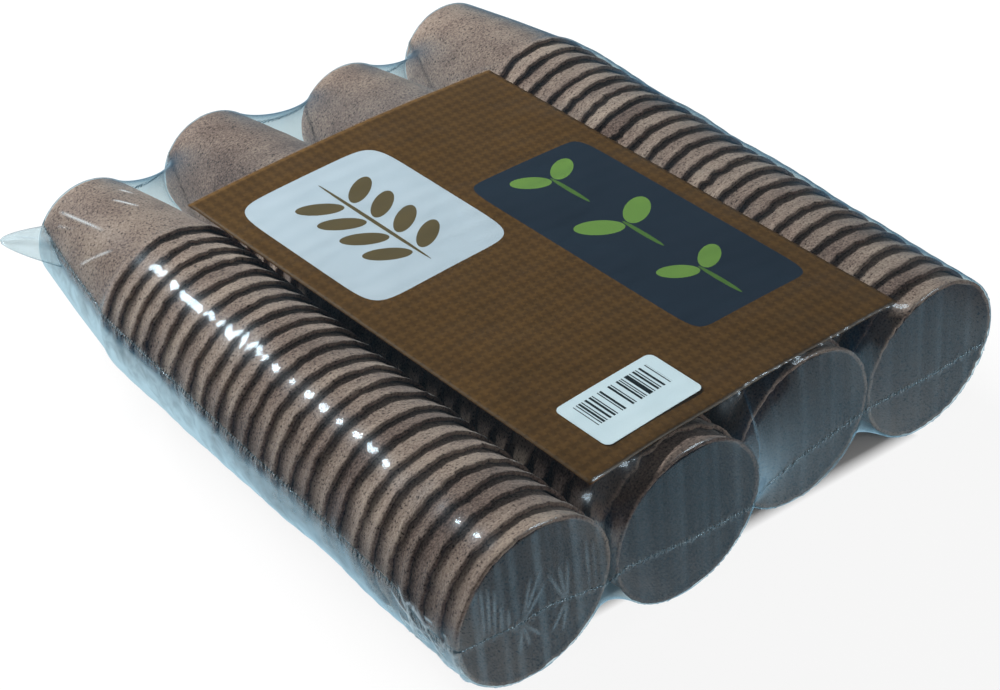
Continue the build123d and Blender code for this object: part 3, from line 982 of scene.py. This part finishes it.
# For mirrored rays the floor glows as a painted reflection: light blue close to the pack and dim further off
mirrored_floor_glow = add_node(
    tree,
    "ShaderNodeMix",
    {"Factor": beyond(MIRROR_GLOW_REACH, 20 * MM), 6: (0.54, 0.71, 0.79, 1), 7: (0.05, 0.13, 0.2, 1)},
    data_type="RGBA",
)
shown = add_node(
    tree,
    "ShaderNodeMix",
    {"Factor": mirrored.outputs[0], 6: (1, 1, 1, 1), 7: mirrored_floor_glow.outputs[2]},
    data_type="RGBA",
)
matt = add_node(tree, "ShaderNodeBsdfDiffuse", {"Color": linear("#f4f4f4")})
# The floor's glow: white where the camera sees it, and the painted reflection for mirrored rays
white = add_node(tree, "ShaderNodeEmission", {"Color": shown.outputs[2], "Strength": 1.0})
mixed = add_node(tree, "ShaderNodeMixShader", {0: share.outputs[0], 1: matt.outputs[0], 2: white.outputs[0]})
add_node(tree, "ShaderNodeOutputMaterial", {"Surface": mixed.outputs[0]})
mesh.materials.append(floor_material)

world = bpy.data.worlds.new("studio")
bpy.context.scene.world = world
world.use_nodes = True
tree = world.node_tree
tree.nodes.clear()
ray = add_node(tree, "ShaderNodeLightPath")
straight = add_node(
    tree,
    "ShaderNodeMath",
    {0: ray.outputs["Is Camera Ray"], 1: ray.outputs["Is Transmission Ray"]},
    operation="MAXIMUM",
)
lit = add_node(
    tree,
    "ShaderNodeMix",
    {"Factor": straight.outputs[0], 6: (0.2, 0.2, 0.2, 1), 7: (1, 1, 1, 1)},
    data_type="RGBA",
)
gaze = add_node(tree, "ShaderNodeTexCoord").outputs["Generated"]
height = add_node(tree, "ShaderNodeSeparateXYZ", {"Vector": gaze})
upward = add_node(
    tree, "ShaderNodeMapRange", {"Value": height.outputs["Z"], "From Min": 0.02, "From Max": 0.2}
)
room = add_node(
    tree,
    "ShaderNodeMix",
    {"Factor": upward.outputs["Result"], 6: (0.08, 0.15, 0.2, 1), 7: (0.05, 0.08, 0.1, 1)},
    data_type="RGBA",
)
colour = add_node(
    tree,
    "ShaderNodeMix",
    {"Factor": ray.outputs["Is Glossy Ray"], 6: lit.outputs[2], 7: room.outputs[2]},
    data_type="RGBA",
)
sky = add_node(tree, "ShaderNodeBackground", {"Color": colour.outputs[2], "Strength": 1.0})
add_node(tree, "ShaderNodeOutputWorld", {"Surface": sky.outputs[0]})


def soft_lamp(name, direction, distance, width, height, power, scattered, mirrored):
    """A rectangular soft lamp that faces the pack."""
    lamp = bpy.data.lights.new(name, "AREA")
    lamp.shape = "RECTANGLE"
    lamp.size, lamp.size_y = width, height
    lamp.energy = power
    stand = bpy.data.objects.new(name, lamp)
    stand.location = Vector(direction).normalized() * distance
    stand.rotation_euler = Vector(direction).to_track_quat("Z", "Y").to_euler()
    stand.visible_diffuse = scattered
    stand.visible_glossy = mirrored
    bpy.context.collection.objects.link(stand)


soft_lamp("back_lamp", (-0.14, 0.85, 0.49), 1.3, 0.7, 0.14, 44.0, True, False)
soft_lamp("fill_lamp", (0.35, -0.90, 0.25), 1.5, 0.8, 0.6, 5.5, True, False)
soft_lamp("glint_lamp", (-0.33, 0.67, 0.66), 1.4, 0.14, 0.24, 4.5, False, True)
soft_lamp("front_lamp", (0.46, -0.62, 0.63), 1.4, 0.45, 0.55, 7.5, False, True)

RIGHT = (0.77643, -0.63013, 0.00999)
UP = (0.36954, 0.46807, 0.80271)
BACK = (-0.51049, -0.61956, 0.59628)
EYE = (-0.43776, -0.54081, 0.52048)
camera = bpy.data.cameras.new("camera")
camera.lens = 87.216
camera.sensor_width = 36.0
camera.sensor_fit = "HORIZONTAL"
camera.clip_start = 0.01
viewer = bpy.data.objects.new("camera", camera)
viewer.matrix_world = Matrix((
    (RIGHT[0], UP[0], BACK[0], EYE[0]),
    (RIGHT[1], UP[1], BACK[1], EYE[1]),
    (RIGHT[2], UP[2], BACK[2], EYE[2]),
    (0, 0, 0, 1),
))
bpy.context.collection.objects.link(viewer)
bpy.context.scene.camera = viewer
bpy.context.scene.view_settings.view_transform = "Standard"
